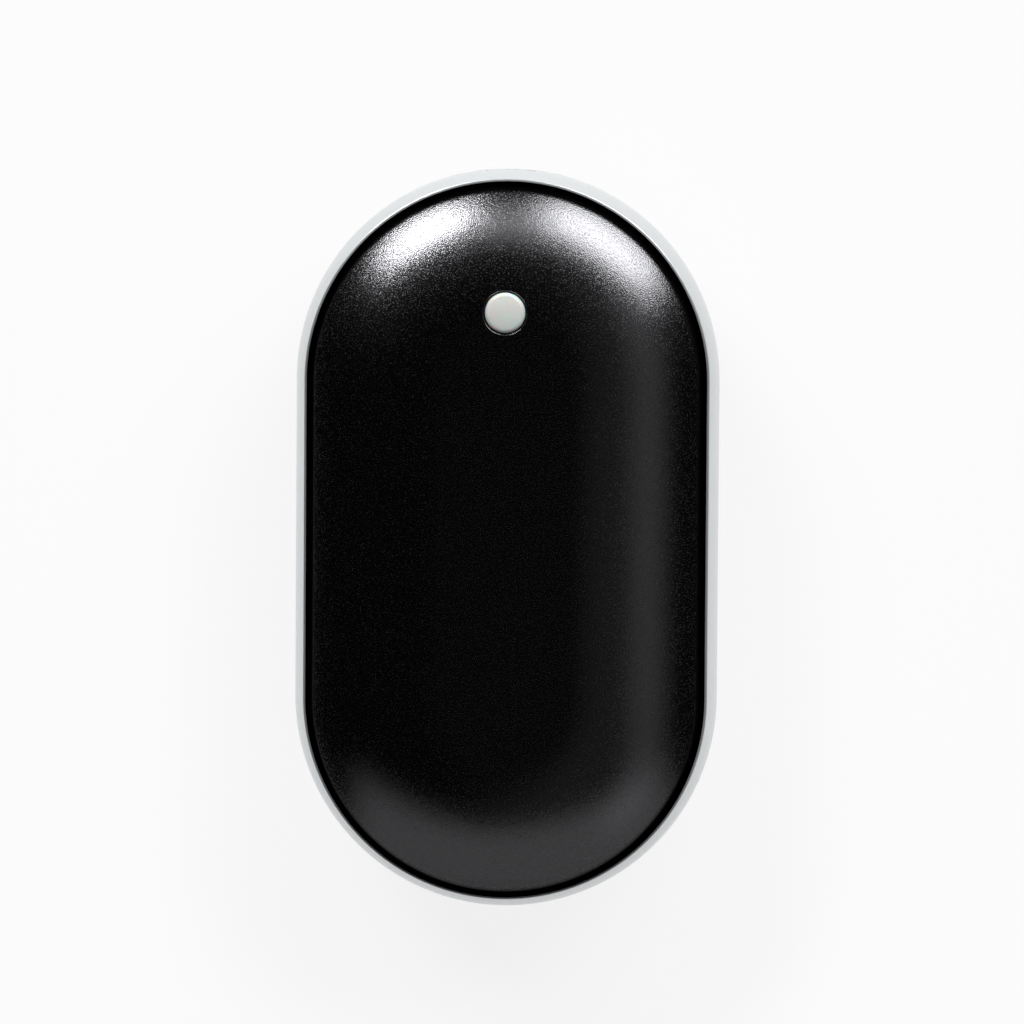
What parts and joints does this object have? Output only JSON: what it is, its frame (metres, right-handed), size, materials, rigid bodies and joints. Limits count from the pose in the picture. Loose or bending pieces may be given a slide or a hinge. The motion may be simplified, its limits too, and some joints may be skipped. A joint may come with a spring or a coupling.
{
  "type": "rechargeable hand warmer",
  "caption": "Pebble-shaped pocket hand warmer: two black metal shells on a pale band, a push button on the front, a charging inlet at one end and heaters and cells inside.",
  "frame": {"origin": "middle of the rear shell's flat rest face, at the bottom of the bounding box", "axes": "+Y along the length towards the end with the button and the charging inlet, +Z out of the front face with the button, +X to the right seen from the front"},
  "size_m": [0.06, 0.1049, 0.0275],
  "materials": {
    "black_shell": "bead-blasted and black anodised, satin with fine sparkle",
    "band_plastic": "moulded silver-white plastic, smooth semi-gloss",
    "button_plastic": "moulded white plastic, smooth semi-gloss",
    "liner_plastic": "natural moulded plastic",
    "dark_plastic": "black moulding compound",
    "plated_steel": "bright tin or nickel plating",
    "board_laminate": "green solder mask over glass laminate",
    "gold_contact": "gold flash",
    "light_guide": "milky clear plastic",
    "led_resin": "clear resin over yellow phosphor",
    "ferrite": "pressed grey-black ferrite",
    "copper_wire": "enamelled copper wire",
    "tan_ceramic": "tan chip ceramic with tinned ends",
    "dark_ceramic": "black glazed chip ceramic",
    "cell_wrap": "blue shrink sleeve over a steel can",
    "washer_card": "pressed insulating paper",
    "nickel_strip": "rolled nickel strip",
    "black_wire": "black silicone insulation",
    "red_wire": "red silicone insulation",
    "tray_plastic": "dark grey moulded plastic",
    "amber_film": "amber polyimide film",
    "etched_metal": "etched alloy foil",
    "sensor_bead": "dark glass bead",
    "grey_foam": "closed-cell foam sheet"
  },
  "bodies": {
    "case": {"front_shell": "black_shell", "rear_shell": "black_shell", "mid_frame": "band_plastic", "front_liner": "liner_plastic", "rear_liner": "liner_plastic", "switch_base": "dark_plastic", "switch_cover": "plated_steel", "switch_dome": "plated_steel", "switch_pins": "plated_steel", "circuit_board": "board_laminate", "inlet_shell": "plated_steel", "inlet_tongue": "dark_plastic", "inlet_contacts": "gold_contact", "light_guides": "light_guide", "indicator_leds": "led_resin", "button_led": "led_resin", "inductor_core": "ferrite", "inductor_winding": "copper_wire", "charge_ic": "dark_plastic", "control_ic": "dark_plastic", "heater_mosfets": "dark_plastic", "capacitors": "tan_ceramic", "resistors": "dark_ceramic", "board_screws": "plated_steel", "left_cell": "cell_wrap", "right_cell": "cell_wrap", "cell_terminals": "plated_steel", "cell_washers": "washer_card", "positive_strip": "nickel_strip", "negative_strip": "nickel_strip", "negative_lead": "black_wire", "battery_tray": "tray_plastic", "tray_screws": "plated_steel", "front_heater_film": "amber_film", "front_heater_track": "etched_metal", "rear_heater_film": "amber_film", "rear_heater_track": "etched_metal", "front_heater_leads": "red_wire", "rear_heater_leads": "red_wire", "front_thermistor": "sensor_bead", "rear_thermistor": "sensor_bead", "front_pad": "grey_foam", "rear_pad": "grey_foam"},
    "button": {"button_cap": "button_plastic", "switch_plunger": "dark_plastic"}
  },
  "joints": [
    {"name": "button_press", "type": "slide", "parent": "case", "child": "button", "axis": [0, 0, -1], "range_m": [0, 0.00025], "stiffness_N_per_m": 2000, "springref_m": -0.0003, "deforming": ["switch_dome"]}
  ]
}
